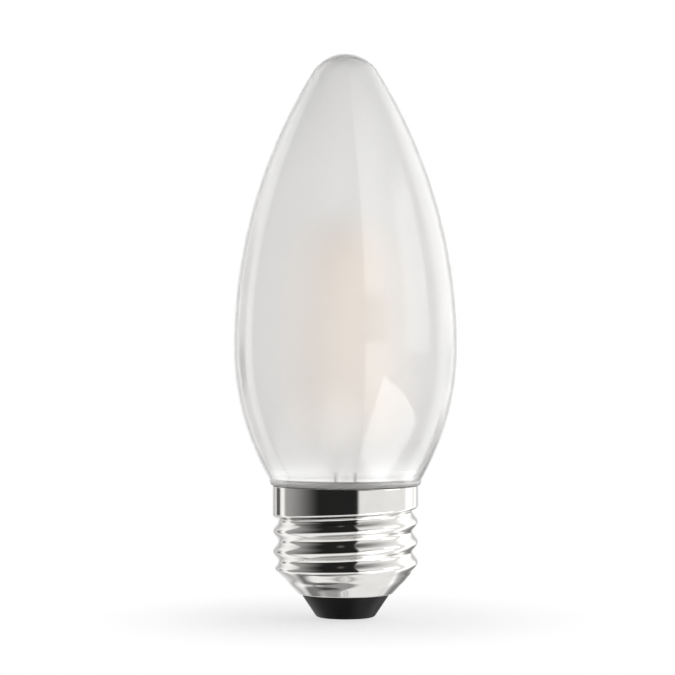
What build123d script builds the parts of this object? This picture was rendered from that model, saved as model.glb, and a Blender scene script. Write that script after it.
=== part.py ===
from build123d import *
import math
import os

# Frosted candle bulb with four LED filaments on a medium screw base.
# Millimetres, +Z up the lamp's axis, the origin at the middle of the centre contact's face.

# Glass envelope
overall_length = 101.2
envelope_diameter = 40.2
widest_height = 48.6
tip_radius = 7.0
belly_radius = 47.0
glass_wall = 0.7
collar_rise = 1.0
collar_overhang = 0.4
collar_rounding = 0.3
neck_diameter = 21.6
neck_length = 7.8

# Screw shell
rim_height = 23.85
rim_diameter = 26.2
rim_band_height = 4.0
shell_wall = 0.3
thread_crest_diameter = 26.05
thread_root_diameter = 24.1
thread_pitch = 3.629
thread_crest_height = 13.8
cone_foot_diameter = 17.2
cone_foot_height = 4.5
cone_slope = 0.95
lip_bore_diameter = 14.0

# Insulator and centre contact
insulator_top_diameter = 15.8
insulator_foot_diameter = 10.4
insulator_rounding = 0.7
insulator_flange_diameter = 15.6
insulator_flange_thickness = 1.5
contact_head_diameter = 6.2
contact_head_thickness = 0.6
contact_stand_out = 0.25
contact_rounding = 0.2
contact_shank_diameter = 2.4
contact_bore_diameter = 1.0
contact_floor = 1.2
contact_rivet_diameter = 4.2
contact_rivet_thickness = 0.5

# Glass stem
stem_wall = 0.7
stem_tube_diameter = 6.0
flare_bend_radius = 6.3
stem_tube_length = 1.5
pinch_blend = 2.5
pinch_width = 7.6
pinch_thickness = 3.2
pinch_height = 4.2
pinch_rounding = 0.6
exhaust_diameter = 2.4
exhaust_bore_diameter = 1.2
exhaust_drop = 2.0
post_diameter = 2.2
bead_diameter = 3.4

# LED filaments and the wires that carry them
filament_count = 4
filament_length = 38.0
filament_width = 2.0
filament_thickness = 1.1
filament_rounding = 0.4
filament_foot_radius = 6.4
filament_top_radius = 3.4
filament_foot_height = 32.6
tab_length = 2.2
tab_width = 1.3
tab_thickness = 0.25
weld_inset = 0.8
bracket_wire_diameter = 0.6
bracket_overrun = 6.0
lead_diameter = 0.4
lead_bend_radius = 1.0

# Driver in the base
board_height = 11.6
board_thickness = 1.0
board_diameter = 20.4
component_inset = 3.8
rectifier_length = 4.8
rectifier_width = 3.8
rectifier_height = 1.4
chip_length = 4.9
chip_width = 3.9
chip_height = 1.5
body_chamfer = 0.25
resistor_length = 3.2
resistor_width = 1.6
resistor_height = 0.6
capacitor_diameter = 6.3
capacitor_length = 4.6
capacitor_chamfer = 0.3
fuse_diameter = 1.9
fuse_cap_diameter = 2.2
fuse_cap_length = 0.7
fuse_length = 3.4
fuse_drop = 0.7
shell_lead_inset = 1.3
shell_lead_bend = 0.5
lead_tail = 0.5
solder_diameter = 1.4
solder_tip_diameter = 0.7

# Clearances
seat_gap = 0.15
cement_gap = 0.3
recess_gap = 0.1
hole_gap = 0.1
weld_gap = 0.05
component_gap = 0.3

# Worked out from the sizes above
envelope_radius = envelope_diameter / 2
neck_radius = neck_diameter / 2
rim_radius = rim_diameter / 2
crest_radius = thread_crest_diameter / 2
root_radius = thread_root_diameter / 2
bore_radius = root_radius - shell_wall
rim_bore_radius = rim_radius - shell_wall
band_foot = rim_height - rim_band_height
seat_height = rim_height + seat_gap
neck_foot = seat_height - neck_length
board_top = board_height + board_thickness
component_circle = board_diameter / 2 - component_inset
lead_radius = lead_diameter / 2
bracket_radius = bracket_wire_diameter / 2

# The flank arc runs from the widest ring and is tangent to the tip's arc.
tip_rise = overall_length - tip_radius - widest_height
flank_radius = (envelope_radius**2 + tip_rise**2 - tip_radius**2) / (2 * (envelope_radius - tip_radius))
flank_lean = math.degrees(math.atan2(tip_rise, flank_radius - envelope_radius))
belly_drop = widest_height - seat_height - collar_rise
belly_lean = math.degrees(math.asin(belly_drop / belly_radius))

# The thread's crests and roots are arcs that meet halfway down the flank.
thread_depth = crest_radius - root_radius
thread_arc = (thread_depth**2 / 4 + (thread_pitch / 4) ** 2) / thread_depth

# The thread's groove ends under the rim band and runs out through the cone.
grooves_over_crest = math.floor((band_foot - thread_crest_height) / thread_pitch - 0.5) + 0.5
groove_top = thread_crest_height + grooves_over_crest * thread_pitch
groove_turns = math.ceil((groove_top - cone_foot_height) / thread_pitch)
band_bore_foot = groove_top + thread_pitch / 2 + shell_wall

# Heights up the stem
bend_top = neck_foot + flare_bend_radius
tube_top = bend_top + stem_tube_length
pinch_foot = tube_top + pinch_blend
pinch_top = pinch_foot + pinch_height
tube_radius = stem_tube_diameter / 2
exhaust_radius = exhaust_diameter / 2
exhaust_foot = neck_foot - exhaust_drop
lead_offset = (tube_radius - stem_wall + exhaust_radius) / 2

# Each filament leans in from its foot; its tabs are welded to the outside of the wires.
filament_lean = math.asin((filament_foot_radius - filament_top_radius) / filament_length)
filament_rise = filament_length * math.cos(filament_lean)
weld_reach = tab_thickness / 2 + bracket_radius + weld_gap
lower_ring_radius = filament_foot_radius - weld_inset * math.sin(filament_lean) - weld_reach * math.cos(filament_lean)
lower_ring_height = filament_foot_height + weld_inset * math.cos(filament_lean) - weld_reach * math.sin(filament_lean)
spoke_height = filament_foot_height + filament_rise - weld_inset * math.cos(filament_lean)
spoke_reach = filament_top_radius + weld_inset * math.sin(filament_lean) - tab_thickness / 2 - weld_gap

# Each filament stands in its own upright plane; two opposite ones share a top wire.
filament_angles = [(number + 0.5) * 360 / filament_count for number in range(filament_count)]
spoke_planes = [
    Plane((0, 0, spoke_height), z_dir=(math.cos(math.radians(angle)), math.sin(math.radians(angle)), 0))
    for angle in filament_angles[: filament_count // 2]
]

os.makedirs("parts", exist_ok=True)


def save(piece, name):
    """Label a finished piece and write its STEP file."""
    piece.part.label = name
    export_step(piece.part, f"parts/{name}.step")


def bulb_curve(inset):
    """Draw the bulb's outline from tip to shoulder, set in by a wall, and return its end."""
    crown = JernArc((0, overall_length - inset), (1, 0), tip_radius - inset, flank_lean - 90)
    flank = JernArc(crown @ 1, crown % 1, flank_radius - inset, -flank_lean)
    belly = JernArc(flank @ 1, flank % 1, belly_radius - inset, -belly_lean)
    return belly @ 1


def thread_rise(share):
    """Return the thread's height over its root at a share of the pitch from a crest."""
    reach = share * thread_pitch
    if share <= 0.25:
        return thread_depth - thread_arc + math.sqrt(thread_arc**2 - reach**2)
    return thread_arc - math.sqrt(thread_arc**2 - (thread_pitch / 2 - reach) ** 2)


def outward_plane(angle):
    """Return the plane that holds the axis and points outward at an angle, its y up."""
    side = math.radians(angle)
    return Plane((0, 0, 0), x_dir=(math.cos(side), math.sin(side), 0), z_dir=(math.sin(side), -math.cos(side), 0))


# Glass envelope: blown in one piece, open at the neck's foot
with BuildPart() as glass_envelope:
    with BuildSketch(Plane.XZ) as envelope_outline:
        with BuildLine():
            shoulder = bulb_curve(0)
            collar_foot = (rim_radius + collar_overhang, seat_height)
            neck_corner = (neck_radius, seat_height)
            Polyline(shoulder, collar_foot, neck_corner, (neck_radius, neck_foot), (0, neck_foot), (0, overall_length))
        make_face()
        corners = envelope_outline.vertices()
        fillet(
            [
                corners.sort_by_distance((collar_foot[0], 0, seat_height))[0],
                corners.sort_by_distance((neck_radius, 0, seat_height))[0],
            ],
            collar_rounding,
        )
    revolve(axis=Axis.Z)
    with BuildSketch(Plane.XZ):
        with BuildLine():
            throat = bulb_curve(glass_wall)
            throat_corner = (neck_radius - glass_wall, seat_height + glass_wall)
            throat_foot = (neck_radius - glass_wall, neck_foot)
            Polyline(throat, throat_corner, throat_foot, (0, neck_foot), (0, overall_length - glass_wall))
        make_face()
    revolve(axis=Axis.Z, mode=Mode.SUBTRACT)
save(glass_envelope, "glass_envelope")

# One turn of the thread's groove, with flats for the crest and root arcs
with BuildPart() as groove_turn:
    with BuildLine() as groove_path:
        Helix(thread_pitch, thread_pitch, root_radius)
    with BuildSketch(Plane(groove_path.line @ 0, x_dir=(1, 0, 0), z_dir=groove_path.line % 0)):
        with BuildLine():
            flank = [(thread_rise(share), (0.5 - share) * thread_pitch) for share in (0.46, 0.36, 0.27, 0.17, 0.07)]
            flank += [(2 * thread_depth, flank[-1][1])]
            Polyline(flank + [(rise, -reach) for rise, reach in reversed(flank)], close=True)
        make_face()
    sweep(path=groove_path.line, is_frenet=True)

# Screw shell: a turned cup with a lip, a cone and a rim band, and the groove cut turn by turn
with BuildPart() as screw_shell:
    with BuildSketch(outward_plane(180)):
        with BuildLine():
            lip_radius = lip_bore_diameter / 2
            lip_top = cone_foot_height + shell_wall
            cone_foot_radius = cone_foot_diameter / 2
            cone_top = cone_foot_height + (crest_radius - cone_foot_radius) / cone_slope
            cone_bore_radius = cone_foot_radius - shell_wall / 2
            cone_bore_top = lip_top + (bore_radius - cone_bore_radius) / cone_slope
            Polyline(
                (lip_radius, cone_foot_height),
                (cone_foot_radius, cone_foot_height),
                (crest_radius, cone_top),
                (crest_radius, band_foot),
                (rim_radius, band_foot),
                (rim_radius, rim_height),
                (rim_bore_radius, rim_height),
                (rim_bore_radius, band_bore_foot),
                (bore_radius, groove_top + thread_pitch / 4),
                (bore_radius, cone_bore_top),
                (cone_bore_radius, lip_top),
                (lip_radius, lip_top),
                close=True,
            )
        make_face()
    revolve(axis=Axis.Z)
    for turn in range(groove_turns):
        with Locations((0, 0, groove_top - (turn + 1) * thread_pitch)):
            add(groove_turn.part, mode=Mode.SUBTRACT)
save(screw_shell, "screw_shell")

# Insulator: moulded round the shell's lip, with a seat for the contact
with BuildPart() as insulator:
    with BuildSketch(Plane.XZ) as insulator_outline:
        with BuildLine():
            shank_hole = contact_shank_diameter / 2
            recess = contact_head_diameter / 2 + recess_gap
            foot_corner = (insulator_foot_diameter / 2, contact_stand_out)
            insulator_top = lip_top + insulator_flange_thickness
            Polyline(
                (shank_hole, contact_head_thickness),
                (recess, contact_head_thickness),
                (recess, contact_stand_out),
                foot_corner,
                (insulator_top_diameter / 2, cone_foot_height),
                (lip_bore_diameter / 2, cone_foot_height),
                (lip_bore_diameter / 2, lip_top),
                (insulator_flange_diameter / 2, lip_top),
                (insulator_flange_diameter / 2, insulator_top),
                (shank_hole, insulator_top),
                close=True,
            )
        make_face()
        fillet(
            insulator_outline.vertices().sort_by_distance((foot_corner[0], 0, foot_corner[1]))[0],
            insulator_rounding,
        )
    revolve(axis=Axis.Z)
save(insulator, "insulator")

# Centre contact: a head in the recess, a shank through the insulator, riveted over on top
with BuildPart() as centre_contact:
    with BuildSketch(Plane.XZ) as contact_outline:
        with BuildLine():
            rivet_top = insulator_top + contact_rivet_thickness
            Polyline(
                (0, 0),
                (contact_head_diameter / 2, 0),
                (contact_head_diameter / 2, contact_head_thickness),
                (shank_hole, contact_head_thickness),
                (shank_hole, insulator_top),
                (contact_rivet_diameter / 2, insulator_top),
                (contact_rivet_diameter / 2, rivet_top),
                (contact_bore_diameter / 2, rivet_top),
                (contact_bore_diameter / 2, contact_floor),
                (0, contact_floor),
                close=True,
            )
        make_face()
        fillet(contact_outline.vertices().sort_by_distance((contact_head_diameter / 2, 0, 0))[0], contact_rounding)
    revolve(axis=Axis.Z)
save(centre_contact, "centre_contact")

# Shell lead: from the board, up between neck and shell, to the inside of the rim band
shell_lead_radius = board_diameter / 2 - shell_lead_inset
gap_radius = (neck_radius + bore_radius) / 2
contact_radius = rim_bore_radius - lead_radius - weld_gap
lead_bend_height = (board_top + neck_foot - stem_wall) / 2
with BuildPart() as shell_lead:
    with BuildLine(Plane.XZ) as shell_lead_path:
        FilletPolyline(
            (shell_lead_radius, board_height - lead_tail),
            (shell_lead_radius, lead_bend_height),
            (gap_radius, lead_bend_height),
            (gap_radius, band_bore_foot),
            (contact_radius, band_bore_foot + contact_radius - gap_radius),
            (contact_radius, rim_height - 2 * cement_gap),
            radius=shell_lead_bend,
        )
    with BuildSketch(Plane(shell_lead_path.line @ 0, z_dir=shell_lead_path.line % 0)):
        Circle(lead_radius)
    sweep(path=shell_lead_path.line)
save(shell_lead, "shell_lead")

# Basing cement: the ring that holds the neck in the shell, open where the shell lead runs
with BuildPart() as basing_cement:
    with BuildSketch(Plane.XZ):
        with BuildLine():
            cement_foot = band_bore_foot + cement_gap
            cement_top = rim_height - cement_gap
            Polyline(
                (neck_radius, cement_foot),
                (rim_bore_radius, cement_foot),
                (rim_bore_radius, cement_top),
                (neck_radius, cement_top),
                close=True,
            )
        make_face()
    revolve(axis=Axis.Z)
    with BuildSketch(Plane.XY.offset(cement_foot)):
        with Locations(((neck_radius + rim_bore_radius) / 2, 0)):
            Rectangle(2 * (rim_bore_radius - neck_radius), lead_diameter + 2 * hole_gap)
    extrude(amount=cement_top - cement_foot, mode=Mode.SUBTRACT)
save(basing_cement, "basing_cement")

# Glass stem: flare, tube, pinch, exhaust tube and post fused into one piece
with BuildPart() as glass_stem:
    with BuildSketch(Plane.XZ):
        with BuildLine():
            tube_bore = tube_radius - stem_wall
            bend_centre = tube_radius + flare_bend_radius
            bend_out = Line((tube_radius, tube_top), (tube_radius, bend_top))
            flare_top = JernArc(bend_out @ 1, (0, -1), flare_bend_radius, 90)
            flare_rim = Polyline(flare_top @ 1, (neck_radius, neck_foot), (neck_radius, neck_foot - stem_wall))
            rim_in = Line(flare_rim @ 1, (bend_centre, neck_foot - stem_wall))
            flare_under = JernArc(rim_in @ 1, (-1, 0), flare_bend_radius + stem_wall, -90)
            Polyline(flare_under @ 1, (tube_bore, tube_top), (tube_radius, tube_top))
        make_face()
    revolve(axis=Axis.Z)
    with BuildSketch(Plane.XY.offset(tube_top)):
        Circle(tube_radius)
    with BuildSketch(Plane.XY.offset(pinch_foot)):
        Ellipse(pinch_width / 2, pinch_thickness / 2)
    loft()
    with BuildSketch(Plane.XY.offset(pinch_foot)):
        Ellipse(pinch_width / 2, pinch_thickness / 2)
    extrude(amount=pinch_height)
    fillet(glass_stem.faces().sort_by(Axis.Z)[-1].edges(), pinch_rounding)
    with BuildSketch(Plane.XZ):
        with BuildLine():
            post_top = spoke_height + bead_diameter / 2
            rod = Polyline((0, pinch_foot), (post_diameter / 2, pinch_foot), (post_diameter / 2, spoke_height))
            Line(rod @ 1, (0, spoke_height))
            Line((0, spoke_height), (0, pinch_foot))
        make_face()
    revolve(axis=Axis.Z)
    with Locations((0, 0, spoke_height)):
        Sphere(bead_diameter / 2)
    with BuildSketch(Plane.XZ):
        with BuildLine():
            exhaust_tip = JernArc((0, exhaust_foot), (1, 0), exhaust_radius, 90)
            Polyline(exhaust_tip @ 1, (exhaust_radius, pinch_foot), (0, pinch_foot), (0, exhaust_foot))
        make_face()
    revolve(axis=Axis.Z)
    vent_height = pinch_foot + pinch_height / 2
    with BuildSketch(Plane.XY.offset(exhaust_foot + exhaust_radius)):
        Circle(exhaust_bore_diameter / 2)
    extrude(amount=vent_height - exhaust_foot - exhaust_radius, mode=Mode.SUBTRACT)
    with BuildSketch(Plane.XZ):
        with Locations((0, vent_height)):
            Circle(exhaust_bore_diameter / 2)
    extrude(amount=-pinch_thickness, mode=Mode.SUBTRACT)
    with BuildSketch(Plane.XY.offset(tube_top)):
        with Locations((-lead_offset, 0), (lead_offset, 0)):
            Circle(lead_radius)
    extrude(amount=pinch_top - tube_top, mode=Mode.SUBTRACT)
    for plane in spoke_planes:
        with BuildSketch(plane):
            Circle(bracket_radius)
        extrude(amount=bead_diameter, both=True, mode=Mode.SUBTRACT)
save(glass_stem, "glass_stem")

# Lead-in wires and lower brackets, one pair to each side
for side_name, side_angle in (("right", 0), ("left", 180)):
    with BuildPart() as lead_in_wire:
        with BuildLine(outward_plane(side_angle)) as lead_path:
            FilletPolyline(
                (lead_offset, board_height - lead_tail),
                (lead_offset, lower_ring_height),
                (lower_ring_radius - bracket_radius - weld_gap, lower_ring_height),
                radius=lead_bend_radius,
            )
        with BuildSketch(Plane(lead_path.line @ 0, z_dir=lead_path.line % 0)):
            Circle(lead_radius)
        sweep(path=lead_path.line)
    save(lead_in_wire, f"lead_in_wire_{side_name}")

    with BuildPart() as lower_bracket:
        with BuildLine(Plane.XY.offset(lower_ring_height)) as bracket_path:
            half_span = 180 / filament_count + bracket_overrun
            CenterArc((0, 0), lower_ring_radius, side_angle - half_span, 2 * half_span)
        with BuildSketch(Plane(bracket_path.line @ 0, z_dir=bracket_path.line % 0)):
            Circle(bracket_radius)
        sweep(path=bracket_path.line)
    save(lower_bracket, f"lower_bracket_{side_name}")

# Top support: crossed wires through the post's bead, one end welded to each upper tab
with BuildPart() as top_support:
    for plane in spoke_planes:
        with BuildSketch(plane):
            Circle(bracket_radius)
        extrude(amount=spoke_reach, both=True)
save(top_support, "top_support")

# LED filaments, each with a tab at either end
for number, angle in enumerate(filament_angles, start=1):
    azimuth = outward_plane(angle)
    foot = azimuth.from_local_coords((filament_foot_radius, filament_foot_height, 0))
    head = azimuth.from_local_coords((filament_top_radius, filament_foot_height + filament_rise, 0))
    strip_plane = Plane(foot, x_dir=azimuth.z_dir, z_dir=head - foot)

    with BuildPart() as led_filament:
        with BuildSketch(strip_plane.offset(tab_length)):
            RectangleRounded(filament_width, filament_thickness, filament_rounding)
        extrude(amount=filament_length - 2 * tab_length)
    save(led_filament, f"led_filament_{number}")

    for end_name, tab_foot in (("lower", 0), ("upper", filament_length - tab_length)):
        with BuildPart() as filament_tab:
            with BuildSketch(strip_plane.offset(tab_foot)):
                Rectangle(tab_width, tab_thickness)
            extrude(amount=tab_length)
        save(filament_tab, f"filament_tab_{end_name}_{number}")

# Driver board: a disc with holes for the four wires that cross it
lead_hole_radius = lead_radius + hole_gap
wire_places = ((-lead_offset, 0), (lead_offset, 0), (shell_lead_radius, 0), (0, 0))
with BuildPart() as driver_board:
    with BuildSketch(Plane.XY.offset(board_height)):
        Circle(board_diameter / 2)
        with Locations(*wire_places):
            Circle(lead_hole_radius, mode=Mode.SUBTRACT)
    extrude(amount=board_thickness)
save(driver_board, "driver_board")

# Solder joints: a cone round each wire, under the board
with BuildPart() as solder_joints:
    with BuildSketch(Plane.XY.offset(board_height)):
        with Locations(*wire_places):
            Circle(solder_diameter / 2)
            Circle(lead_radius, mode=Mode.SUBTRACT)
    extrude(amount=-lead_tail)
    chamfer(
        solder_joints.faces().sort_by(Axis.Z)[: len(wire_places)].edges().filter_by(
            lambda edge: edge.radius > lead_hole_radius
        ),
        length=(solder_diameter - solder_tip_diameter) / 2,
    )
save(solder_joints, "solder_joints")

# Moulded parts on top of the board
moulded_parts = (
    ("bridge_rectifier", rectifier_length, rectifier_width, rectifier_height, component_circle),
    ("driver_chip", chip_length, chip_width, chip_height, -component_circle),
)
for part_name, length, width, height, place in moulded_parts:
    with BuildPart() as moulded_part:
        with BuildSketch(Plane.XY.offset(board_top)):
            with Locations((0, place)):
                Rectangle(length, width)
        extrude(amount=height)
        chamfer(moulded_part.faces().sort_by(Axis.Z)[-1].edges(), body_chamfer)
    save(moulded_part, part_name)

# Chip resistors, beside the driver chip
for number, side in ((1, -1), (2, 1)):
    with BuildPart() as chip_resistor:
        with BuildSketch(Plane.XY.offset(board_top)):
            with Locations((side * component_circle, -resistor_length)):
                Rectangle(resistor_width, resistor_length)
        extrude(amount=resistor_height)
    save(chip_resistor, f"chip_resistor_{number}")

# Smoothing capacitor: a can hung under the board, clear of the solder
capacitor_offset = lead_offset + solder_diameter / 2 + component_gap + capacitor_diameter / 2
with BuildPart() as smoothing_capacitor:
    with BuildSketch(Plane((-capacitor_offset, 0, board_height))):
        Circle(capacitor_diameter / 2)
    extrude(amount=-capacitor_length)
    chamfer(smoothing_capacitor.faces().sort_by(Axis.Z)[0].edges(), capacitor_chamfer)
save(smoothing_capacitor, "smoothing_capacitor")

# Fuse resistor on the axis, between the board and the centre contact
fuse_top = board_height - fuse_drop
fuse_foot = fuse_top - fuse_length
with BuildPart() as fuse_resistor:
    with BuildSketch(Plane.XY.offset(fuse_foot)):
        Circle(fuse_diameter / 2)
    extrude(amount=fuse_length)
    for cap_foot in (fuse_foot, fuse_top - fuse_cap_length):
        with BuildSketch(Plane.XY.offset(cap_foot)):
            Circle(fuse_cap_diameter / 2)
        extrude(amount=fuse_cap_length)
save(fuse_resistor, "fuse_resistor")

with BuildPart() as fuse_lead:
    with BuildSketch(Plane.XY.offset(fuse_top)):
        Circle(lead_radius)
    extrude(amount=board_top + lead_tail - fuse_top)
save(fuse_lead, "fuse_lead")

with BuildPart() as contact_lead:
    with BuildSketch(Plane.XY.offset(contact_floor)):
        Circle(lead_radius)
    extrude(amount=fuse_foot - contact_floor)
save(contact_lead, "contact_lead")
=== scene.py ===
"""Looks of the frosted candle bulb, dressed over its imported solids.

Outlines are pairs of radius and height in millimetres; the lathe turns them into metres.
"""

import logging
import math
from dataclasses import dataclass
from enum import Enum
from typing import ClassVar

import bpy
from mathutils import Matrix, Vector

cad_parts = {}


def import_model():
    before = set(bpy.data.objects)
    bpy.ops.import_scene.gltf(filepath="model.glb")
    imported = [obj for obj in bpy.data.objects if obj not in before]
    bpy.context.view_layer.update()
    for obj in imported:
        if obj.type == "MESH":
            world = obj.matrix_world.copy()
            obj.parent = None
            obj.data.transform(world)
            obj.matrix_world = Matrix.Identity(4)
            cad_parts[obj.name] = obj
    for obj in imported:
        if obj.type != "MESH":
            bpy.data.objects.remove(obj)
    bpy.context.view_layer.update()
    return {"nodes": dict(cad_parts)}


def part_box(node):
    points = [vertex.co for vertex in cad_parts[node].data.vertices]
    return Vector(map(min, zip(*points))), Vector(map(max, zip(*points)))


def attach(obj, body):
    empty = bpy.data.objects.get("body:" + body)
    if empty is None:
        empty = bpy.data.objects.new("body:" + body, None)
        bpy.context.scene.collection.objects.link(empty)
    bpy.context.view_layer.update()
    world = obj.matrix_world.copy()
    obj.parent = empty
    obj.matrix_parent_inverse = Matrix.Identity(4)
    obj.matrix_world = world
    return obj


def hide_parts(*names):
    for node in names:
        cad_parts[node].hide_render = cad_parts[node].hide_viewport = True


MM = 0.001
BODY = "root"
MERGE_DISTANCE = 0.002
Outline = list[tuple[float, float]]
Colour = tuple[float, float, float]
Nodes = dict[str, bpy.types.Object]

log = logging.getLogger("candle_bulb")


class Slot(Enum):
    """The record's material slots by name; the insulator's and the contact's finishes are named from
    them.
    """

    GLASS = "frosted_glass"
    SHELL = "nickel_shell"
    INSULATOR = "black_insulator"
    CONTACT = "contact_metal"


class Wire(Enum):
    """The metals that the inner wires are drawn from."""

    NICKEL = (0.72, 0.70, 0.66)
    COPPER = (0.80, 0.47, 0.30)
    SOLDER = (0.76, 0.76, 0.77)


def arc(centre: tuple[float, float], radius: float, start: float, end: float, count: int) -> Outline:
    """Return points along an arc, both ends included.

    Args:
        centre: The arc's centre, as radius and height.
        radius: The arc's radius.
        start: The first angle in degrees, from the outward direction up.
        end: The last angle in degrees.
        count: How many steps divide the arc.

    Returns:
        The points, in order.
    """
    angles = [math.radians(start + (end - start) * step / count) for step in range(count + 1)]
    across, up = centre
    return [(across + radius * math.cos(angle), up + radius * math.sin(angle)) for angle in angles]


def smooth_step(value: float, low: float, high: float) -> float:
    """Return a soft 0 to 1 ramp of a value between two limits."""
    share = min(1.0, max(0.0, (value - low) / (high - low)))
    return share * share * (3 - 2 * share)


def smooth_min(first: float, second: float, blend: float) -> float:
    """Return the smaller of two values, rounded where they cross."""
    share = min(1.0, max(0.0, 0.5 + 0.5 * (second - first) / blend))
    return second + (first - second) * share - blend * share * (1 - share)


def lathe(name: str, outline: Outline, steps: int) -> bpy.types.Object:
    """Draw an outline by extruding one vertex and spin it about the lamp's axis.

    Args:
        name: The new piece's name.
        outline: The outline to turn.
        steps: How many steps make the full turn.

    Returns:
        The turned piece, smooth shaded, with its faces outward.
    """
    bpy.ops.object.select_all(action="DESELECT")
    bpy.ops.mesh.primitive_plane_add(size=MM)
    piece = bpy.context.object
    piece.name = name
    piece.data.name = name
    bpy.ops.object.mode_set(mode="EDIT")
    bpy.ops.mesh.select_all(action="SELECT")
    bpy.ops.mesh.merge(type="CENTER")
    last = (0.0, 0.0)
    for number, point in enumerate(outline):
        move = ((point[0] - last[0]) * MM, 0.0, (point[1] - last[1]) * MM)
        if number == 0:
            bpy.ops.transform.translate(value=move)
        else:
            bpy.ops.mesh.extrude_vertices_move(TRANSFORM_OT_translate={"value": move})
        last = point
    bpy.ops.mesh.select_all(action="SELECT")
    bpy.ops.mesh.spin(steps=steps, angle=math.tau, center=(0, 0, 0), axis=(0, 0, 1))
    bpy.ops.mesh.select_all(action="SELECT")
    bpy.ops.mesh.remove_doubles(threshold=MERGE_DISTANCE * MM)
    bpy.ops.mesh.normals_make_consistent(inside=False)
    bpy.ops.object.mode_set(mode="OBJECT")
    bpy.ops.object.shade_smooth()
    return piece


class Wiring:
    """Short calls that add the nodes of one tree and join them."""

    def __init__(self, tree: bpy.types.NodeTree) -> None:
        """Keep the tree that the nodes go into."""
        self.tree = tree

    def feed(self, socket: bpy.types.NodeSocket, value: object) -> None:
        """Link a socket to another one, or set its plain value.

        Args:
            socket: The socket to feed.
            value: Another socket, or a plain value.
        """
        if isinstance(value, bpy.types.NodeSocket):
            self.tree.links.new(value, socket)
        else:
            socket.default_value = value

    def feed_named(self, node: bpy.types.Node, inputs: dict[str, object]) -> None:
        """Feed a node's inputs by name, with underscores for spaces."""
        for key, value in inputs.items():
            self.feed(node.inputs[key.replace("_", " ")], value)

    def add(self, kind: str, **inputs: object) -> bpy.types.Node:
        """Add a node and feed its inputs.

        Args:
            kind: The node's Blender type, without its first word ShaderNode.
            inputs: A value or a socket for each named input.

        Returns:
            The new node.
        """
        node = self.tree.nodes.new("ShaderNode" + kind)
        self.feed_named(node, inputs)
        return node

    def group(self, tree: bpy.types.NodeTree, **inputs: object) -> bpy.types.NodeSocket:
        """Place a node group, feed its inputs and return its mask.

        Args:
            tree: The group's tree.
            inputs: A value or a socket for each named input.

        Returns:
            The group's Mask socket.
        """
        node = self.add("Group")
        node.node_tree = tree
        self.feed_named(node, inputs)
        return node.outputs["Mask"]

    def work_out(self, operation: str, *inputs: object) -> bpy.types.NodeSocket:
        """Add a math node fed by sockets or numbers and return its result.

        Args:
            operation: The math node's operation.
            inputs: A number or a socket for each operand, in order.

        Returns:
            The socket that holds the result.
        """
        node = self.add("Math")
        node.operation = operation
        for socket, value in zip(node.inputs, inputs):
            self.feed(socket, value)
        return node.outputs[0]

    def soft_span(self, value: bpy.types.NodeSocket, **limits: float) -> bpy.types.NodeSocket:
        """Map a value between limits with soft ends.

        Args:
            value: The socket that holds the value.
            limits: The limits, by the names of the map's inputs.

        Returns:
            The socket that holds the result.
        """
        node = self.add("MapRange", Value=value, **limits)
        node.interpolation_type = "SMOOTHSTEP"
        return node.outputs["Result"]


class Recipe(Wiring):
    """A material under construction round its Principled shader.

    The Mix node gives several sockets the same name, so those for colours are known by number.
    """

    mix_factor: ClassVar[int] = 0
    mix_colours: ClassVar[tuple[int, int]] = (6, 7)
    mix_result: ClassVar[int] = 2

    def __init__(self, name: str) -> None:
        """Start a material that reads Object coordinates.

        Args:
            name: The material's name.
        """
        self.material = bpy.data.materials.new(name)
        self.material.use_nodes = True
        super().__init__(self.material.node_tree)
        self.surface = self.tree.nodes["Principled BSDF"]
        self.place = self.add("TexCoord").outputs["Object"]

    def set(self, **inputs: object) -> None:
        """Feed the shader's inputs by name."""
        self.feed_named(self.surface, inputs)

    def ramp(
        self, mask: bpy.types.NodeSocket, low: float, high: float, full: float = 1.0
    ) -> bpy.types.NodeSocket:
        """Return a value that goes from low to high as a mask goes from 0 to full."""
        node = self.add("MapRange", Value=mask, From_Max=full, To_Min=low, To_Max=high)
        return node.outputs["Result"]

    def blend(self, mask: bpy.types.NodeSocket, first: Colour, second: Colour) -> bpy.types.NodeSocket:
        """Blend two colours by a mask.

        Args:
            mask: The mask, 0 for the first colour and 1 for the second.
            first: The first colour.
            second: The second colour.

        Returns:
            The socket that holds the blend.
        """
        mix = self.add("Mix")
        mix.data_type = "RGBA"
        self.feed(mix.inputs[self.mix_factor], mask)
        for number, colour in zip(self.mix_colours, (first, second)):
            self.feed(mix.inputs[number], (*colour, 1.0))
        return mix.outputs[self.mix_result]

    def bump(self, height: bpy.types.NodeSocket, strength: float, depth: float) -> None:
        """Raise the surface by a height mask.

        Args:
            height: The mask to raise by.
            strength: How much of the bump shows.
            depth: The bump's full depth in millimetres.
        """
        node = self.add("Bump", Strength=strength, Distance=depth * MM, Height=height)
        self.set(Normal=node.outputs["Normal"])


def new_group(name: str, inputs: tuple[str, ...]) -> bpy.types.NodeTree:
    """Make a shader node group with one output, a mask.

    Args:
        name: The group's name.
        inputs: The names of its inputs; Place is a vector and the others are numbers.

    Returns:
        The group's tree, with its input and output nodes.
    """
    tree = bpy.data.node_groups.new(name, "ShaderNodeTree")
    for key in inputs:
        kind = "NodeSocketVector" if key == "Place" else "NodeSocketFloat"
        tree.interface.new_socket(key, in_out="INPUT", socket_type=kind)
    tree.interface.new_socket("Mask", in_out="OUTPUT", socket_type="NodeSocketFloat")
    tree.nodes.new("NodeGroupInput")
    tree.nodes.new("NodeGroupOutput")
    return tree


@dataclass(frozen=True)
class Cloud:
    """A cloudy pattern, by its repeats to the metre, its grain and its contrast."""

    repeats: float
    grain: float
    contrast: float


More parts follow.
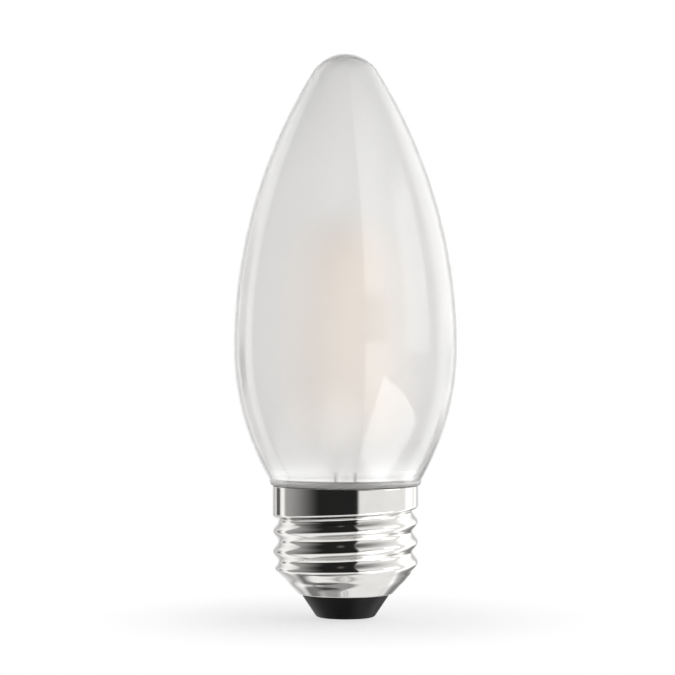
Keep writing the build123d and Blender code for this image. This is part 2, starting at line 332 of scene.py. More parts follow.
@dataclass(frozen=True)
class SharedEffects:
    """The node groups that more than one finish uses."""

    mottle: bpy.types.NodeTree
    drawn_lines: bpy.types.NodeTree
    noise_middle: ClassVar[float] = 0.5
    line_grain: ClassVar[float] = 3.0

    @staticmethod
    def build() -> "SharedEffects":
        """Return the groups, built once."""
        return SharedEffects(SharedEffects.build_mottle(), SharedEffects.build_drawn_lines())

    @staticmethod
    def build_mottle() -> bpy.types.NodeTree:
        """Build a cloudy mask with a size in repeats to the metre.

        Returns:
            The group's tree.
        """
        tree = new_group("Mottle", ("Place", "Repeats", "Grain", "Contrast"))
        wiring = Wiring(tree)
        feed = tree.nodes["Group Input"].outputs
        cloud = wiring.add("TexNoise", Vector=feed["Place"], Scale=feed["Repeats"], Detail=feed["Grain"])
        half = wiring.work_out("MULTIPLY", feed["Contrast"], 0.5)
        low = wiring.work_out("SUBTRACT", SharedEffects.noise_middle, half)
        high = wiring.work_out("ADD", SharedEffects.noise_middle, half)
        span = wiring.add("MapRange", Value=cloud.outputs["Fac"], From_Min=low, From_Max=high)
        wiring.feed(tree.nodes["Group Output"].inputs["Mask"], span.outputs["Result"])
        return tree

    @staticmethod
    def build_drawn_lines() -> bpy.types.NodeTree:
        """Build a mask of fine lines that run round the lamp's axis.

        Returns:
            The group's tree.
        """
        tree = new_group("Drawn lines", ("Place", "Round", "Along"))
        wiring = Wiring(tree)
        feed = tree.nodes["Group Input"].outputs
        stretch = wiring.add("CombineXYZ", X=feed["Round"], Y=feed["Round"], Z=feed["Along"])
        place = wiring.add("VectorMath")
        place.operation = "MULTIPLY"
        wiring.feed(place.inputs[0], feed["Place"])
        wiring.feed(place.inputs[1], stretch.outputs["Vector"])
        lines = wiring.add("TexNoise", Vector=place.outputs["Vector"], Scale=1.0)
        wiring.feed_named(lines, {"Detail": SharedEffects.line_grain})
        wiring.feed(tree.nodes["Group Output"].inputs["Mask"], lines.outputs["Fac"])
        return tree

    def cloud(self, recipe: Recipe, pattern: Cloud) -> bpy.types.NodeSocket:
        """Place the mottle in a material and return its mask."""
        values = {"Repeats": pattern.repeats, "Grain": pattern.grain, "Contrast": pattern.contrast}
        return recipe.group(self.mottle, Place=recipe.place, **values)

    def lines(self, recipe: Recipe, around: float, along: float) -> bpy.types.NodeSocket:
        """Place the drawn lines in a material and return their mask."""
        return recipe.group(self.drawn_lines, Place=recipe.place, Round=around, Along=along)


@dataclass(frozen=True)
class FrostedGlass:
    """Glass that is glossy outside and frosted inside, unevenly as an etch is."""

    tint: Colour = (0.995, 0.992, 0.988)
    frost: tuple[float, float] = (0.68, 0.76)
    polish: float = 0.02
    gloss: float = 0.7
    index: float = 1.5
    inside_from: float = 0.2
    etch: Cloud = Cloud(350.0, 4.0, 0.7)

    def build(self, effects: SharedEffects) -> bpy.types.Material:
        """Build the material.

        Args:
            effects: The shared node groups.

        Returns:
            The material.
        """
        recipe = Recipe("frosted_glass")
        side = recipe.add("Attribute")
        side.attribute_name = GlassEnvelope.side_name
        inside = side.outputs["Fac"]
        frost = recipe.ramp(effects.cloud(recipe, self.etch), *self.frost)
        rough = recipe.work_out("MAXIMUM", recipe.work_out("MULTIPLY", inside, frost), self.polish)
        recipe.set(Roughness=rough, Coat_Weight=recipe.ramp(inside, self.gloss, 0.0, self.inside_from))
        recipe.set(Base_Color=(*self.tint, 1.0), Transmission_Weight=1.0, IOR=self.index)
        recipe.set(Coat_Roughness=0.0, Coat_IOR=self.index)
        return recipe.material


@dataclass(frozen=True)
class ClearGlass:
    """Drawn stem glass, as a clear film with a gloss."""

    tint: Colour = (0.96, 0.975, 0.97)
    film: float = 0.05
    index: float = 1.5
    gloss: tuple[float, float] = (0.02, 0.08)
    ripple: Cloud = Cloud(250.0, 2.0, 0.8)
    ripple_share: float = 0.3
    ripple_depth: float = 0.05

    def build(self, effects: SharedEffects) -> bpy.types.Material:
        """Build the material.

        Args:
            effects: The shared node groups.

        Returns:
            The material.
        """
        recipe = Recipe("stem_glass")
        ripple = effects.cloud(recipe, self.ripple)
        recipe.bump(ripple, self.ripple_share, self.ripple_depth)
        recipe.set(Base_Color=(*self.tint, 1.0), Roughness=recipe.ramp(ripple, *self.gloss))
        recipe.set(Alpha=self.film, IOR=self.index)
        return recipe.material


@dataclass(frozen=True)
class BrightNickel:
    """Nickel plate on rolled sheet, with faint lines round the axis."""

    plate: Colour = (0.65, 0.64, 0.625)
    shade: Colour = (0.57, 0.56, 0.545)
    gloss: tuple[float, float] = (0.02, 0.14)
    mottle: Cloud = Cloud(220.0, 5.0, 0.7)
    lines_round: float = 90.0
    lines_along: float = 8000.0
    line_share: float = 0.12
    line_depth: float = 0.01

    def build(self, effects: SharedEffects) -> bpy.types.Material:
        """Build the material.

        Args:
            effects: The shared node groups.

        Returns:
            The material.
        """
        recipe = Recipe("nickel_shell")
        lines = effects.lines(recipe, self.lines_round, self.lines_along)
        recipe.bump(lines, self.line_share, self.line_depth)
        tone = recipe.blend(effects.cloud(recipe, self.mottle), self.shade, self.plate)
        recipe.set(Base_Color=tone, Roughness=recipe.ramp(lines, *self.gloss), Metallic=1.0)
        return recipe.material


@dataclass(frozen=True)
class Moulded:
    """A moulded or cast finish: one colour with a cloudy variation and a fine grain."""

    name: str
    base: Colour
    shade: Colour
    gloss: tuple[float, float] = (0.35, 0.5)
    repeats: float = 900.0
    grain_depth: float = 0.01
    specular: float = 0.5
    grain: float = 5.0
    contrast: float = 0.6
    grain_share: float = 0.3

    def build(self, effects: SharedEffects) -> bpy.types.Material:
        """Build the material.

        Args:
            effects: The shared node groups.

        Returns:
            The material.
        """
        recipe = Recipe(self.name)
        cloud = effects.cloud(recipe, Cloud(self.repeats, self.grain, self.contrast))
        recipe.bump(cloud, self.grain_share, self.grain_depth)
        tone = recipe.blend(cloud, self.shade, self.base)
        recipe.set(Base_Color=tone, Roughness=recipe.ramp(cloud, *self.gloss))
        recipe.set(Specular_IOR_Level=self.specular)
        return recipe.material


@dataclass(frozen=True)
class Phosphor:
    """Silicone with phosphor over the filaments' diodes, with a painted glow: it gives off a little
    light of its own colour, though the lamp is not switched on.
    """

    base: Colour = (1.0, 0.83, 0.66)
    shade: Colour = (0.98, 0.78, 0.60)
    # painted glow: how strongly the unlit phosphor gives off light of its own
    painted_glow: float = 0.3
    gloss: tuple[float, float] = (0.45, 0.65)
    mottle: Cloud = Cloud(1500.0, 4.0, 0.6)

    def build(self, effects: SharedEffects) -> bpy.types.Material:
        """Build the material.

        Args:
            effects: The shared node groups.

        Returns:
            The material.
        """
        recipe = Recipe("phosphor")
        cloud = effects.cloud(recipe, self.mottle)
        tone = recipe.blend(cloud, self.shade, self.base)
        # painted glow: the phosphor's own colour is also given off as light
        recipe.set(Base_Color=tone, Emission_Color=tone, Emission_Strength=self.painted_glow)
        recipe.set(Roughness=recipe.ramp(cloud, *self.gloss))
        return recipe.material


@dataclass(frozen=True)
class Metal:
    """A plain drawn or turned metal with a slightly uneven colour and gloss."""

    name: str
    base: Colour
    gloss: tuple[float, float] = (0.15, 0.35)
    dulling: float = 0.85
    mottle: Cloud = Cloud(1500.0, 4.0, 0.7)

    def build(self, effects: SharedEffects) -> bpy.types.Material:
        """Build the material.

        Args:
            effects: The shared node groups.

        Returns:
            The material.
        """
        recipe = Recipe(self.name)
        cloud = effects.cloud(recipe, self.mottle)
        red, green, blue = (channel * self.dulling for channel in self.base)
        tone = recipe.blend(cloud, (red, green, blue), self.base)
        recipe.set(Base_Color=tone, Roughness=recipe.ramp(cloud, *self.gloss), Metallic=1.0)
        return recipe.material


class SubAssembly:
    """A part of the lamp that builds its meshes and dresses them."""

    def make(self, nodes: Nodes, effects: SharedEffects) -> list[bpy.types.Object]:
        """Build and dress the pieces.

        Args:
            nodes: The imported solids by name.
            effects: The shared node groups.

        Returns:
            The finished pieces.
        """
        raise NotImplementedError

    @staticmethod
    def dress(piece: bpy.types.Object, material: bpy.types.Material) -> None:
        """Give a piece one material in place of any that it had."""
        piece.data.materials.clear()
        piece.data.materials.append(material)

    def dress_solids(
        self, nodes: Nodes, start: str, material: bpy.types.Material
    ) -> list[bpy.types.Object]:
        """Dress every solid whose name starts with a word.

        Args:
            nodes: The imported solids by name.
            start: The word that the names start with.
            material: The solids' finish.

        Returns:
            The dressed solids.
        """
        solids = [node for name, node in nodes.items() if name.startswith(start)]
        for solid in solids:
            self.dress(solid, material)
        return solids

    def fit(
        self, piece: bpy.types.Object, node: str, slot: Slot, material: bpy.types.Material
    ) -> bpy.types.Object:
        """Dress a new piece, set it on the lamp and let it stand for a solid.

        Args:
            piece: The new piece.
            node: The solid that it replaces.
            slot: Not used.
            material: The piece's finish.

        Returns:
            The same piece.
        """
        self.dress(piece, material)
        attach(piece, BODY)
        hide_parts(node)
        return piece


@dataclass
class GlassEnvelope(SubAssembly):
    """The blown bulb, from its tip to the neck inside the shell."""

    tip_radius: float = 7.0
    belly_radius: float = 47.0
    widest_height: float = 48.6
    wall: float = 0.7
    collar_radius: float = 13.5
    collar_rise: float = 1.0
    collar_rounding: float = 0.15
    collar_floor: float = 0.12
    collar_frost: float = 0.5
    seat_height: float = 24.0
    neck_radius: float = 10.8
    thin_frost: float = 0.23
    thin_heights: tuple[float, float] = (25.4, 31.2)
    crown_steps: int = 24
    flank_steps: int = 60
    belly_steps: int = 36
    collar_steps: int = 5
    corner_steps: int = 4
    steps: int = 168
    side_name: ClassVar[str] = "frosted_side"

    def make(self, nodes: Nodes, effects: SharedEffects) -> list[bpy.types.Object]:
        """Blow the bulb, frost its inner wall and set it over its solid."""
        piece = self.build()
        return [self.fit(piece, "glass_envelope", Slot.GLASS, FrostedGlass().build(effects))]

    def curve(self, top: float, widest: float, inset: float) -> Outline:
        """Return the bulb's outline from tip to shoulder, set in by a wall.

        Args:
            top: The tip's height.
            widest: The largest radius.
            inset: How far the outline is set in.

        Returns:
            The outline's points.
        """
        tip_rise = top - self.tip_radius - self.widest_height
        flank_radius = (widest**2 + tip_rise**2 - self.tip_radius**2) / (2 * (widest - self.tip_radius))
        flank_lean = math.degrees(math.atan2(tip_rise, flank_radius - widest))
        belly_drop = self.widest_height - self.seat_height - self.collar_rise
        belly_lean = math.degrees(math.asin(belly_drop / self.belly_radius))
        crown_centre = (0.0, top - self.tip_radius)
        flank_centre = (widest - flank_radius, self.widest_height)
        belly_centre = (widest - self.belly_radius, self.widest_height)
        crown = arc(crown_centre, self.tip_radius - inset, 90, flank_lean, self.crown_steps)
        flank = arc(flank_centre, flank_radius - inset, flank_lean, 0, self.flank_steps)
        belly = arc(belly_centre, self.belly_radius - inset, 0, -belly_lean, self.belly_steps)
        return crown + flank[1:] + belly[1:]

    def build(self) -> bpy.types.Object:
        """Blow the bulb as one thin shell.

        Returns:
            The bulb, with its frost marked.
        """
        low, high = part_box("glass_envelope")
        top, widest, foot = high[2] / MM, high[0] / MM, low[2] / MM
        turn = self.collar_rounding
        outer = self.curve(top, widest, 0)
        collar_centre = (self.collar_radius - turn, self.seat_height + turn)
        corner_centre = (self.neck_radius + turn, self.seat_height - turn)
        collar = arc(collar_centre, turn, 0, -90, self.collar_steps)
        corner = arc(corner_centre, turn, 90, 180, self.corner_steps)
        throat = self.neck_radius - self.wall
        floor = self.seat_height + self.collar_floor
        neck = [(self.neck_radius, foot), (throat, foot), (throat, floor)]
        neck.append((self.collar_radius - self.wall, floor))
        inner = self.curve(top, widest, self.wall)
        outline = outer + collar + corner + neck + inner[::-1]
        outline[0] = (0.0, top)
        outline[-1] = (0.0, top - self.wall)
        piece = lathe("frosted_bulb", outline, self.steps)
        self.mark_frost(piece, top)
        return piece

    def mark_frost(self, piece: bpy.types.Object, top: float) -> None:
        """Mark how much frost each point carries: the inner wall, less at the neck, and the collar.

        Args:
            piece: The bulb.
            top: The tip's height.
        """
        marks = piece.data.attributes.new(self.side_name, "FLOAT", "POINT")
        collar_top = self.seat_height + self.collar_frost
        collar_reach = self.neck_radius + self.collar_frost
        for vertex in piece.data.vertices:
            height = vertex.co.z / MM
            outward = vertex.co.copy()
            outward.z -= min(vertex.co.z, (top - self.tip_radius) * MM)
            share = 0.0
            if height < collar_top and math.hypot(vertex.co.x, vertex.co.y) > collar_reach * MM:
                share = 1.0
            elif outward.dot(vertex.normal) < 0:
                share = self.thin_frost + (1 - self.thin_frost) * smooth_step(height, *self.thin_heights)
            marks.data[vertex.index].value = share


@dataclass
class ScrewShell(SubAssembly):
    """The rolled sheet base: a plain band, a round thread and a cone, with the cement inside it."""

    pitch: float = 3.629
    crest_radius: float = 13.025
    root_radius: float = 12.05
    crest_height: float = 13.8
    crest_breadth: float = 0.85
    rim_radius: float = 13.1
    rim_height: float = 23.85
    last_groove: float = 1.5
    shoulder: tuple[float, float] = (0.15, 1.1)
    runout: float = 1.2
    cone_foot_radius: float = 8.6
    cone_foot_height: float = 4.5
    cone_slope: float = 0.95
    cone_blend: float = 0.5
    cone_groove: float = 0.18
    cone_groove_heights: tuple[float, float] = (5.4, 7.4)
    lip_bore: float = 7.0
    wall: float = 0.3
    slack: float = 0.01
    rings: int = 116
    edge_steps: int = 6
    steps: int = 168

    def make(self, nodes: Nodes, effects: SharedEffects) -> list[bpy.types.Object]:
        """Roll the shell, set it over its solid and dress the cement.

        Args:
            nodes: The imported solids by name.
            effects: The shared node groups.

        Returns:
            The finished pieces.
        """
        cement = Moulded(
            "cement",
            base=(0.90, 0.88, 0.84),
            shade=(0.80, 0.77, 0.72),
            gloss=(0.8, 0.95),
            repeats=700.0,
            grain_depth=0.05,
        )
        shell = self.fit(self.build(), "screw_shell", Slot.SHELL, BrightNickel().build(effects))
        return [shell, *self.dress_solids(nodes, "basing_cement", cement.build(effects))]

    def thread_wave(self, height: float, angle: float) -> float:
        """Return how far the thread stands over its root, from 0 to 1.

        Args:
            height: The height up the axis.
            angle: The angle round it, in radians.

        Returns:
            The wave, with broad crests and tighter roots.
        """
        turns = (height - self.crest_height) / self.pitch - angle / math.tau
        return (0.5 + 0.5 * math.cos(math.tau * turns)) ** self.crest_breadth

    def side_radius(self, height: float, angle: float, last_root: float) -> float:
        """Return the radius of the thread and of the band over its last groove.

        Args:
            height: The height up the axis.
            angle: The angle round it, in radians.
            last_root: The height of the last groove's root at that angle.

        Returns:
            The radius, without the cone.
        """
        plain = smooth_step(height - last_root, *self.shoulder)
        depth = self.crest_radius - self.root_radius
        thread = self.root_radius + depth * self.thread_wave(height, angle)
        return thread + (self.rim_radius - thread) * plain

    def outer_radius(self, height: float, angle: float) -> float:
        """Return the sheet's outer radius at a height and an angle.

        Args:
            height: The height up the axis.
            angle: The angle round it, in radians.

        Returns:
            The radius, where the last groove runs out and the cone cuts the thread off.
        """
        last_root = self.crest_height + self.pitch * (self.last_groove + angle / math.tau)
        gone = smooth_step(angle, 0.0, self.runout)
        side = self.side_radius(height, angle, last_root) * (1 - gone)
        side += self.side_radius(height, angle, last_root - self.pitch) * gone
        groove = self.cone_groove * (1 - self.thread_wave(height, angle))
        groove *= smooth_step(height, *self.cone_groove_heights)
        cone = self.cone_foot_radius + (height - self.cone_foot_height) * self.cone_slope - groove
        return smooth_min(side, cone, self.cone_blend)

    def build(self) -> bpy.types.Object:
        """Turn a plain sleeve, then roll the thread and the cone into it.

        Returns:
            The shell.
        """
        bore = self.rim_radius - self.wall
        turn = self.wall / 2
        lip_top = self.cone_foot_height + self.wall
        rise = self.rim_height - turn - self.cone_foot_height
        heights = [self.cone_foot_height + rise * ring / self.rings for ring in range(self.rings + 1)]
        sleeve = [(self.rim_radius, height) for height in heights]
        edge_centre = (self.rim_radius - turn, self.rim_height - turn)
        edge = arc(edge_centre, turn, 0, 180, self.edge_steps)
        inside = [(bore, height) for height in reversed(heights) if height > lip_top]
        lip = [(self.lip_bore, lip_top), (self.lip_bore, self.cone_foot_height)]
        start = [(self.lip_bore, self.cone_foot_height)]
        piece = lathe("rolled_shell", start + sleeve + edge[1:-1] + inside + lip, self.steps)
        self.roll(piece)
        return piece

    def roll(self, piece: bpy.types.Object) -> None:
        """Move the plain sleeve's points in and out to the thread and the cone.

        Args:
            piece: The plain sleeve.
        """
        for vertex in piece.data.vertices:
            x, y, z = (value / MM for value in vertex.co)
            radius = math.hypot(x, y)
            if radius < self.rim_radius - self.wall - self.slack:
                continue
            rolled = self.outer_radius(z, math.atan2(y, x)) - (self.rim_radius - radius)
            vertex.co.x *= rolled / radius
            vertex.co.y *= rolled / radius


@dataclass
class Foot(SubAssembly):
    """The insulator and the contact under it."""

    top_radius: float = 7.9
    top_height: float = 4.5
    foot_radius: float = 5.2
    foot_height: float = 0.25
    foot_rounding: float = 0.7
    lip_rounding: float = 0.15
    neck_radius: float = 7.0
    neck_height: float = 4.8
    flange_radius: float = 7.8
    flange_height: float = 6.3
    recess_radius: float = 3.2
    recess_chamfer: float = 0.06
    head_radius: float = 3.1
    head_thickness: float = 0.6
    head_rounding: float = 0.2
    shank_radius: float = 1.2
    rivet_radius: float = 2.1
    rivet_height: float = 6.8
    bore_radius: float = 0.5
    bore_floor: float = 1.2
    ring_radius: float = 1.7
    ring_rounding: float = 0.45
    ring_depth: float = 0.1
    foot_steps: int = 8
    lip_steps: int = 5
    ring_steps: int = 6
    edge_steps: int = 5
    steps: int = 128

    def make(self, nodes: Nodes, effects: SharedEffects) -> list[bpy.types.Object]:
        """Mould the insulator, strike the contact and set both over their solids.

        Args:
            nodes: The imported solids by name.
            effects: The shared node groups.

        Returns:
            The finished pieces.
        """
        black = Moulded(
            Slot.INSULATOR.value,
            base=(0.005, 0.005, 0.0055),
            shade=(0.0035, 0.0035, 0.004),
            gloss=(0.3, 0.42),
            repeats=1200.0,
            specular=0.1,
        )
        tinned = Metal(Slot.CONTACT.value, (0.80, 0.74, 0.60))
        return [
            self.fit(self.build_insulator(), "insulator", Slot.INSULATOR, black.build(effects)),
            self.fit(self.build_contact(), "centre_contact", Slot.CONTACT, tinned.build(effects)),
        ]

    def build_insulator(self) -> bpy.types.Object:
        """Mould the cone, with a hole for the contact and a flange over the shell's lip.

        Returns:
            The insulator.
        """
        rise = self.top_height - self.foot_height
        slope = math.degrees(math.atan2(rise, self.top_radius - self.foot_radius))
        lean = 90 - slope
        reach = self.foot_rounding * math.tan(math.radians(slope / 2))
        foot_centre = (self.foot_radius - reach, self.foot_height + self.foot_rounding)
        lip_centre = (self.top_radius - self.lip_rounding, self.top_height - self.lip_rounding)
        outline = [
            (self.shank_radius, self.head_thickness),
            (self.recess_radius, self.head_thickness),
            (self.recess_radius, self.foot_height + self.recess_chamfer),
            (self.recess_radius + self.recess_chamfer, self.foot_height),
        ]
        outline += arc(foot_centre, self.foot_rounding, -90, -lean, self.foot_steps)
        outline += arc(lip_centre, self.lip_rounding, -lean, 90, self.lip_steps)
        outline += [
            (self.neck_radius, self.top_height),
            (self.neck_radius, self.neck_height),
            (self.flange_radius, self.neck_height),
            (self.flange_radius, self.flange_height),
            (self.shank_radius, self.flange_height),
            outline[0],
        ]
        return lathe("moulded_insulator", outline, self.steps)

    def build_contact(self) -> bpy.types.Object:
        """Turn the riveted contact, with a shallow ring struck into the face of its head.

        Returns:
            The contact.
        """
        drop = self.ring_rounding - self.ring_depth
        lean = math.degrees(math.asin(drop / self.ring_rounding))
        ring_centre = (self.ring_radius, -drop)
        edge_centre = (self.head_radius - self.head_rounding, self.head_rounding)
        outline = [(0.0, 0.0)]
        outline += arc(ring_centre, self.ring_rounding, 180 - lean, lean, self.ring_steps)
        outline += arc(edge_centre, self.head_rounding, -90, 0, self.edge_steps)
        outline += [
            (self.head_radius, self.head_thickness),
            (self.shank_radius, self.head_thickness),
            (self.shank_radius, self.flange_height),
            (self.rivet_radius, self.flange_height),
            (self.rivet_radius, self.rivet_height),
            (self.bore_radius, self.rivet_height),
            (self.bore_radius, self.bore_floor),
            (0.0, self.bore_floor),
        ]
        return lathe("riveted_contact", outline, self.steps)


class LightUnit(SubAssembly):
    """The glass stem with the filaments that it carries."""

    wires: ClassVar[tuple[str, ...]] = ("lead_in_wire", "lower_bracket", "top_support")

    def make(self, nodes: Nodes, effects: SharedEffects) -> list[bpy.types.Object]:
        """Dress the stem, its wires and the filaments.

        Args:
            nodes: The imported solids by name.
            effects: The shared node groups.

        Returns:
            The finished pieces.
        """
        wire = Metal("wire_nickel", Wire.NICKEL.value).build(effects)
        tab = Metal("tab_nickel", Wire.NICKEL.value).build(effects)
        pieces = self.dress_solids(nodes, "glass_stem", ClearGlass().build(effects))
        pieces += self.dress_solids(nodes, "led_filament", Phosphor().build(effects))
        pieces += self.dress_solids(nodes, "filament_tab", tab)
        for start in self.wires:
            pieces += self.dress_solids(nodes, start, wire)
        return pieces


class Driver(SubAssembly):
    """The board inside the shell with its components and leads."""

    chips: ClassVar[tuple[str, ...]] = ("bridge_rectifier", "driver_chip", "chip_resistor")
    leads: ClassVar[tuple[str, ...]] = ("shell_lead", "fuse_lead", "contact_lead")

    def make(self, nodes: Nodes, effects: SharedEffects) -> list[bpy.types.Object]:
        """Dress the board, its components, the solder and the leads.

        Args:
            nodes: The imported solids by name.
            effects: The shared node groups.

        Returns:
            The finished pieces.
        """
        board = Moulded("circuit_board", base=(0.82, 0.83, 0.80), shade=(0.76, 0.77, 0.73))
        chip = Moulded(
            "moulded_black",
            base=(0.03, 0.03, 0.032),
            shade=(0.02, 0.02, 0.021),
            gloss=(0.45, 0.6),
            repeats=2500.0,
        )
        black = chip.build(effects)
        body = Moulded(
            "resistor_body",
            base=(0.42, 0.58, 0.60),
            shade=(0.34, 0.50, 0.52),
            gloss=(0.25, 0.4),
        )
        can = Metal("capacitor_can", (0.84, 0.84, 0.85), gloss=(0.25, 0.4))
        solder = Metal("solder", Wire.SOLDER.value, gloss=(0.2, 0.45))
        lead = Metal("lead_copper", Wire.COPPER.value).build(effects)
        pieces = self.dress_solids(nodes, "driver_board", board.build(effects))
        pieces += self.dress_solids(nodes, "fuse_resistor", body.build(effects))
        pieces += self.dress_solids(nodes, "smoothing_capacitor", can.build(effects))
        pieces += self.dress_solids(nodes, "solder_joints", solder.build(effects))
        for start in self.chips:
            pieces += self.dress_solids(nodes, start, black)
        for start in self.leads:
            pieces += self.dress_solids(nodes, start, lead)
        return pieces


@dataclass(frozen=True)
class Panel:
    """A stretch of the studio by direction from the lamp, in degrees, with a softness at each edge.

    Azimuth 0 points at the camera and grows to its right. The start edge leans with the elevation,
    and the high edge tilts with the azimuth.
    """

    strength: float
    azimuth: tuple[float, float]
    elevation: tuple[float, float]
    azimuth_soft: tuple[float, float]
    elevation_soft: tuple[float, float]
    lean: float = 0.0
    tilt: float = 0.0
    edges: ClassVar[tuple[str, ...]] = ("Start", "End", "Low", "High")

    @classmethod
    def build_group(cls) -> bpy.types.NodeTree:
        """Build a group that masks a soft-edged stretch of directions.

        Returns:
            The group's tree.
        """
        softness = tuple(edge + " soft" for edge in cls.edges)
        tree = new_group("Studio panel", ("Azimuth", "Elevation", *cls.edges, *softness))
        wiring = Wiring(tree)
        feed = tree.nodes["Group Input"].outputs
        past = (
            wiring.work_out("SUBTRACT", feed["Azimuth"], feed["Start"]),
            wiring.work_out("SUBTRACT", feed["End"], feed["Azimuth"]),
            wiring.work_out("SUBTRACT", feed["Elevation"], feed["Low"]),
            wiring.work_out("SUBTRACT", feed["High"], feed["Elevation"]),
        )
        total: object = 1.0
        for edge, distance in zip(cls.edges, past):
            share = wiring.work_out("DIVIDE", distance, feed[edge + " soft"])
            inside = wiring.soft_span(share, From_Min=-1.0, From_Max=1.0)
            total = wiring.work_out("MULTIPLY", inside, total)
        wiring.feed(tree.nodes["Group Output"].inputs["Mask"], total)
        return tree

    def light(
        self,
        wiring: Wiring,
        group: bpy.types.NodeTree,
        azimuth: bpy.types.NodeSocket,
        elevation: bpy.types.NodeSocket,
    ) -> bpy.types.NodeSocket:
        """Place the group for this panel.

        Args:
            wiring: The world's nodes.
            group: The group that masks a stretch.
            azimuth: The direction's azimuth.
            elevation: The direction's elevation.

        Returns:
            The panel's mask times its strength.
        """
        limits = dict(zip(self.edges, self.azimuth + self.elevation))
        widths = self.azimuth_soft + self.elevation_soft
        softness = {edge + " soft": width for edge, width in zip(self.edges, widths)}
        across = wiring.work_out("MULTIPLY_ADD", elevation, -self.lean, azimuth)
        up = wiring.work_out("MULTIPLY_ADD", azimuth, -self.tilt, elevation)
        mask = wiring.group(group, Azimuth=across, Elevation=up, **limits, **softness)
        return wiring.work_out("MULTIPLY", mask, self.strength)


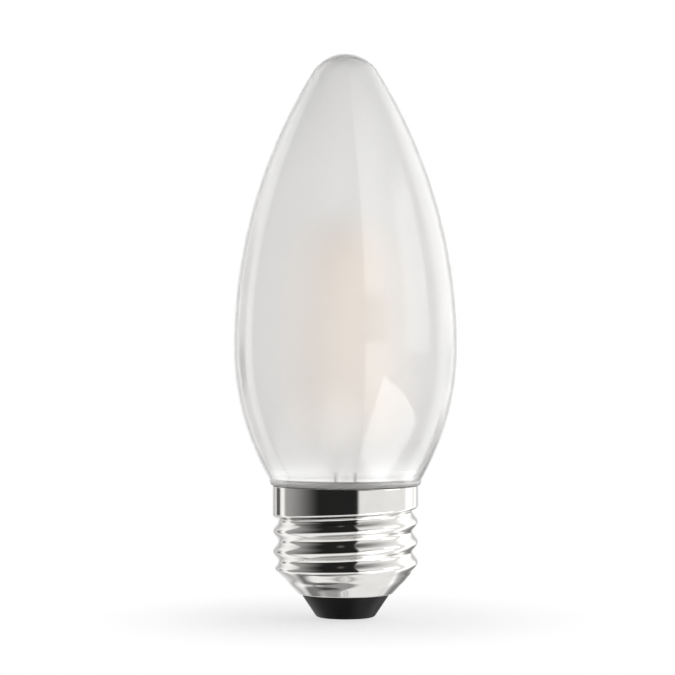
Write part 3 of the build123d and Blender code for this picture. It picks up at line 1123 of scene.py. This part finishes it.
@dataclass
class Studio:
    """The floor, the surrounding light and the camera."""

    camera_distance: float = 430.0
    camera_height: float = 50.3
    camera_side: float = -1.44
    frame_width: float = 121.1
    sensor_width: float = 36.0
    nearest: float = 10.0
    floor_radius: float = 60.0
    floor_drop: float = 0.05
    floor_grey: float = 0.85
    floor_roughness: float = 0.9
    floor_fade: tuple[float, float] = (5.0, 48.0)
    floor_core: float = 0.7
    floor_sides: int = 96
    surround: float = 0.025
    panels: ClassVar[dict[str, Panel]] = {
        "back wall, right": Panel(1.1, (150, 200), (-110, 42), (20, 4), (4, 25)),
        "back wall, left": Panel(1.01, (-200, -150), (-110, 42), (4, 20), (4, 25)),
        "right wing": Panel(2.1, (105, 150), (-46, 48), (12, 20), (8, 25)),
        "left wing": Panel(1.48, (-150, -110), (-110, 48), (20, 6), (4, 25)),
        "right wall": Panel(1.25, (20, 150), (-110, 60), (3, 20), (10, 20)),
        "high window": Panel(2.2, (60, 96), (-2.3, 34), (12, 2), (1.2, 6)),
        "low window": Panel(3.1, (43.6, 104), (-46, -3), (1.5, 9), (7, 1.5), 0.433, -0.224),
        "left wall": Panel(0.54, (-200, -72), (-50, 50), (4, 40), (15, 15)),
        "table": Panel(1.35, (-110, 20), (-110, -24), (10, 3), (4, 12)),
        "ceiling lamp": Panel(1.0, (-32, -18), (74, 90), (14, 14), (10, 6)),
    }
    flags: ClassVar[dict[str, Panel]] = {
        "left strip": Panel(0.8, (-139, -126), (-8, 0), (2, 2), (3, 3)),
        "thread's left edge": Panel(0.5, (-141, -124), (-22, 14), (5, 5), (6, 6)),
        "right strip": Panel(0.3, (126, 139), (-8, 0), (2, 2), (3, 3)),
        "thread's right edge": Panel(0.6, (132, 166), (-40, -12), (6, 5), (5, 4)),
        "under the foot": Panel(0.65, (-128, 60), (-110, -64), (6, 20), (4, 6)),
        "front card": Panel(0.9, (14, 42), (1, 12), (3, 14), (1.5, 3)),
        "table edge": Panel(0.8, (-228, -203), (-84, -44), (6, 4), (3, 5), -1.64),
    }

    def build(self) -> None:
        """Make the light, the floor and the camera."""
        self.build_world()
        self.build_floor()
        self.build_camera()

    def build_world(self) -> None:
        """Light the lamp from the panels, less the flags; the camera itself sees plain white."""
        world = bpy.data.worlds.new("studio")
        bpy.context.scene.world = world
        world.use_nodes = True
        wiring = Wiring(world.node_tree)
        axes = wiring.add("SeparateXYZ", Vector=wiring.add("TexCoord").outputs["Generated"]).outputs
        toward = wiring.work_out("MULTIPLY", axes["Y"], -1.0)
        azimuth = wiring.work_out("DEGREES", wiring.work_out("ARCTAN2", axes["X"], toward))
        elevation = wiring.work_out("DEGREES", wiring.work_out("ARCSINE", axes["Z"]))
        group = Panel.build_group()
        light: object = self.surround
        for panel in self.panels.values():
            light = wiring.work_out("MAXIMUM", panel.light(wiring, group, azimuth, elevation), light)
        for flag in self.flags.values():
            kept = wiring.work_out("SUBTRACT", 1.0, flag.light(wiring, group, azimuth, elevation))
            light = wiring.work_out("MULTIPLY", kept, light)
        camera_ray = wiring.add("LightPath").outputs["Is Camera Ray"]
        others = wiring.work_out("SUBTRACT", 1.0, camera_ray)
        sky = world.node_tree.nodes["Background"]
        seen = wiring.work_out("MULTIPLY_ADD", light, others, camera_ray)
        wiring.feed_named(sky, {"Color": (1.0, 1.0, 1.0, 1.0), "Strength": seen})

    def build_floor(self) -> None:
        """Lay a pale floor that keeps the lamp's shadow, fades to white and is clear from below."""
        bpy.ops.object.select_all(action="DESELECT")
        reach = self.floor_radius * MM
        bpy.ops.mesh.primitive_circle_add(vertices=self.floor_sides, radius=reach, fill_type="NGON")
        floor = bpy.context.object
        floor.name = "floor"
        bpy.ops.object.mode_set(mode="EDIT")
        bpy.ops.mesh.select_all(action="SELECT")
        bpy.ops.transform.translate(value=(0.0, 0.0, -self.floor_drop * MM))
        bpy.ops.object.mode_set(mode="OBJECT")
        floor.data.materials.append(self.build_floor_finish())

    def build_floor_finish(self) -> bpy.types.Material:
        """Build the floor's material.

        Returns:
            The material.
        """
        recipe = Recipe("pale_floor")
        grey = (self.floor_grey, self.floor_grey, self.floor_grey, 1.0)
        recipe.set(Base_Color=grey, Roughness=self.floor_roughness)
        rays = recipe.add("LightPath").outputs
        reach = recipe.add("VectorMath", Vector=recipe.place)
        reach.operation = "LENGTH"
        near, far = (limit * MM for limit in self.floor_fade)
        limits = {"From_Min": near, "From_Max": far, "To_Min": self.floor_core}
        fade = recipe.soft_span(reach.outputs["Value"], **limits)
        white = recipe.work_out("MULTIPLY", fade, rays["Is Camera Ray"])
        backdrop = recipe.add("MixShader", Fac=white)
        recipe.feed(backdrop.inputs[1], recipe.surface.outputs["BSDF"])
        recipe.feed(backdrop.inputs[2], recipe.add("Emission").outputs["Emission"])
        below = recipe.add("NewGeometry").outputs["Backfacing"]
        unseen = recipe.add("MixShader", Fac=recipe.work_out("MAXIMUM", rays["Is Glossy Ray"], below))
        recipe.feed(unseen.inputs[1], backdrop.outputs["Shader"])
        recipe.feed(unseen.inputs[2], recipe.add("BsdfTransparent").outputs["BSDF"])
        recipe.feed(recipe.tree.nodes["Material Output"].inputs["Surface"], unseen.outputs["Shader"])
        return recipe.material

    def build_camera(self) -> None:
        """Set the camera level with the glass, at the photograph's framing."""
        bpy.ops.object.camera_add(
            location=(self.camera_side * MM, -self.camera_distance * MM, self.camera_height * MM),
            rotation=(math.pi / 2, 0, 0),
        )
        camera = bpy.context.object
        camera.data.sensor_width = self.sensor_width
        camera.data.lens = self.sensor_width * self.camera_distance / self.frame_width
        camera.data.clip_start = self.nearest * MM
        bpy.context.scene.camera = camera


def main() -> None:
    """Build the lamp's looks piece by piece, then the studio round it."""
    logging.basicConfig(level=logging.INFO, format="%(name)s: %(message)s")
    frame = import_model()
    bpy.context.scene.view_settings.view_transform = "Standard"

    effects = SharedEffects.build()
    for assembly in (GlassEnvelope(), ScrewShell(), Foot(), LightUnit(), Driver()):
        for piece in assembly.make(frame["nodes"], effects):
            log.info("%s: %d faces", piece.name, len(piece.data.polygons))
    Studio().build()


if __name__ == "__main__":
    main()
